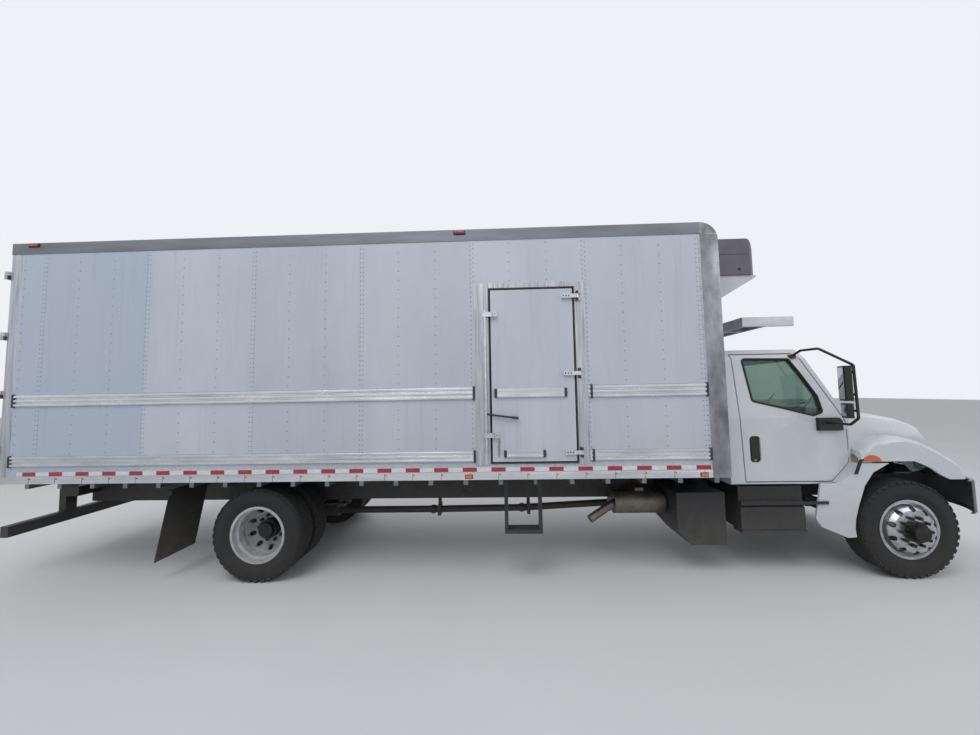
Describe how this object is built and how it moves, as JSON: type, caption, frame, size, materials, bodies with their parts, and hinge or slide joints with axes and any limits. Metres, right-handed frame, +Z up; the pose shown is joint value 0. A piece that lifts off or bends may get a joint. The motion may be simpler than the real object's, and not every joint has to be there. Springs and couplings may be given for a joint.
{
  "type": "refrigerated box truck",
  "caption": "Two-axle refrigerated box truck with a bonneted day cab, insulated body with side and rear doors, and a refrigeration unit on the box's nose.",
  "frame": {"origin": "on the ground under the middle of the truck's overall length, on its centre plane", "axes": "+X forward, +Y to the driver's side, +Z up"},
  "size_m": [10.902, 2.826, 3.819],
  "materials": {
    "frame_paint": "black chassis paint, road dust",
    "flap_rubber": "matte rubber sheet",
    "engine_iron": "painted cast iron",
    "exhaust_steel": "heat-dulled steel",
    "step_paint": "black paint",
    "axle_paint": "black paint over castings and springs",
    "bumper_paint": "dark grey satin paint",
    "cab_paint": "white gloss paint",
    "glass": "lightly tinted safety glass",
    "seat_cloth": "dark woven cloth",
    "dash_plastic": "grained plastic",
    "floor_metal": "dull aluminium floor",
    "box_panel": "white prepainted sheet, riveted",
    "roof_metal": "plain aluminium sheet",
    "polished_trim": "polished extrusions",
    "unit_plastic": "dark moulded cover",
    "platform_metal": "mill finish",
    "lamp_lens": "red and amber lenses",
    "grille_plastic": "grey plastic",
    "headlamp_lens": "clear lens",
    "mirror_plastic": "black grained plastic",
    "tyre_rubber": "black tread rubber",
    "wheel_metal": "polished disc wheel",
    "wheel_paint": "white disc wheel, dusty"
  },
  "bodies": {
    "chassis": {"chassis_frame": "frame_paint", "mudflaps": "flap_rubber", "driveshaft": "frame_paint", "engine": "engine_iron", "exhaust": "exhaust_steel", "tanks_and_steps": "step_paint", "front_axle": "axle_paint", "rear_axle": "axle_paint", "bumper": "bumper_paint", "cab_shell": "cab_paint", "cab_glass": "glass", "seats": "seat_cloth", "dashboard": "dash_plastic", "box_floor": "floor_metal", "box_wall_left": "box_panel", "box_wall_right": "box_panel", "box_wall_front": "box_panel", "box_roof": "roof_metal", "rear_frame": "polished_trim", "side_door_frame": "polished_trim", "box_trim": "polished_trim", "refrigeration_unit": "unit_plastic", "service_platform": "platform_metal", "body_lamps": "lamp_lens"},
    "load_side_door": {"side_door": "box_panel"},
    "left_rear_door": {"rear_door_left": "box_panel"},
    "right_rear_door": {"rear_door_right": "box_panel"},
    "hood_body": {"hood": "cab_paint", "grille": "grille_plastic", "headlamps": "headlamp_lens"},
    "left_cab_door": {"cab_door_left": "cab_paint", "door_glass_left": "glass", "mirror_left": "mirror_plastic"},
    "right_cab_door": {"cab_door_right": "cab_paint", "door_glass_right": "glass", "mirror_right": "mirror_plastic"},
    "left_knuckle": {"knuckle_left": "axle_paint"},
    "right_knuckle": {"knuckle_right": "axle_paint"},
    "left_front_wheel": {"tyre_front_left": "tyre_rubber", "wheel_front_left": "wheel_metal"},
    "right_front_wheel": {"tyre_front_right": "tyre_rubber", "wheel_front_right": "wheel_metal"},
    "left_rear_wheels": {"tyres_rear_left": "tyre_rubber", "wheels_rear_left": "wheel_paint"},
    "right_rear_wheels": {"tyres_rear_right": "tyre_rubber", "wheels_rear_right": "wheel_paint"}
  },
  "joints": [
    {"name": "steer_left", "type": "hinge", "parent": "chassis", "child": "left_knuckle", "pos_m": [4.461, 0.88, 0.5], "axis": [0, 0, 1], "range_deg": [-35, 35]},
    {"name": "steer_right", "type": "hinge", "parent": "chassis", "child": "right_knuckle", "pos_m": [4.461, -0.88, 0.5], "axis": [0, 0, 1], "range_deg": [-35, 35]},
    {"name": "roll_front_left", "type": "hinge", "parent": "left_knuckle", "child": "left_front_wheel", "pos_m": [4.461, 1.018, 0.5], "axis": [0, 1, 0], "continuous": true},
    {"name": "roll_front_right", "type": "hinge", "parent": "right_knuckle", "child": "right_front_wheel", "pos_m": [4.461, -1.018, 0.5], "axis": [0, 1, 0], "continuous": true},
    {"name": "roll_rear_left", "type": "hinge", "parent": "chassis", "child": "left_rear_wheels", "pos_m": [-2.501, 0.9145, 0.5], "axis": [0, 1, 0], "continuous": true},
    {"name": "roll_rear_right", "type": "hinge", "parent": "chassis", "child": "right_rear_wheels", "pos_m": [-2.501, -0.9145, 0.5], "axis": [0, 1, 0], "continuous": true},
    {"name": "cab_door_left_hinge", "type": "hinge", "parent": "chassis", "child": "left_cab_door", "pos_m": [4.002, 1.018, 1.5], "axis": [0, 0, -1], "range_deg": [0, 62]},
    {"name": "cab_door_right_hinge", "type": "hinge", "parent": "chassis", "child": "right_cab_door", "pos_m": [4.002, -1.018, 1.5], "axis": [0, 0, 1], "range_deg": [0, 62]},
    {"name": "hood_tilt", "type": "hinge", "parent": "chassis", "child": "hood_body", "pos_m": [5.371, 0, 1], "axis": [0, 1, 0], "range_deg": [0, 60]},
    {"name": "side_door_hinge", "type": "hinge", "parent": "chassis", "child": "load_side_door", "pos_m": [1.036, -1.329, 2.205], "axis": [0, 0, 1], "range_deg": [0, 170]},
    {"name": "rear_door_left_hinge", "type": "hinge", "parent": "chassis", "child": "left_rear_door", "pos_m": [-5.421, 1.315, 2.4], "axis": [0, 0, -1], "range_deg": [0, 250]},
    {"name": "rear_door_right_hinge", "type": "hinge", "parent": "chassis", "child": "right_rear_door", "pos_m": [-5.421, -1.315, 2.4], "axis": [0, 0, 1], "range_deg": [0, 250]}
  ],
  "couplings": [
    {"joint": "steer_right", "follows": "steer_left", "ratio": 1}
  ]
}
